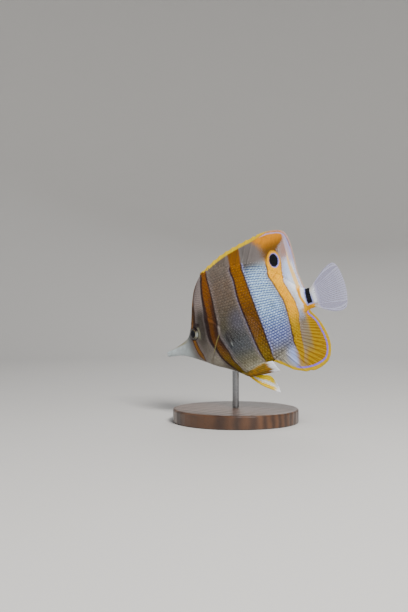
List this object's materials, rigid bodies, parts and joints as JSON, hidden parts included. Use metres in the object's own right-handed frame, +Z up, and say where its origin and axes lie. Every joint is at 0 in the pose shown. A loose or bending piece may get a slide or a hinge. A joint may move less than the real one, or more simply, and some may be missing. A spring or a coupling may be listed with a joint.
{
  "type": "copperband butterflyfish",
  "caption": "Life-size model of a copperband butterflyfish, banded silver and copper with a long snout and an eyespot, held level on a round base by a short rod.",
  "frame": {"origin": "centre of the whole model's box, on the floor under the stand's base", "axes": "+Z up; the snout points towards -X and tips 18 degrees down; the fish's left side faces -Y"},
  "size_m": [0.1442, 0.084, 0.1265],
  "materials": {
    "skin": "moist scaled skin, silver with copper bands",
    "eye": "clear polished",
    "fin": "orange membrane on rays, satin",
    "clear_fin": "pale, thin and see-through, satin",
    "base_wood": "dark oiled",
    "rod_steel": "brushed"
  },
  "bodies": {
    "root": {"snout": "skin", "head": "skin", "torso": "skin", "tail_stalk": "skin", "eye_left": "eye", "eye_right": "eye", "dorsal_fin": "fin", "anal_fin": "fin", "tail_fin": "clear_fin", "pectoral_fin_left": "clear_fin", "pectoral_fin_right": "clear_fin", "pelvic_fin_left": "fin", "pelvic_fin_right": "fin", "stand_base": "base_wood", "stand_rod": "rod_steel"}
  },
  "joints": []
}
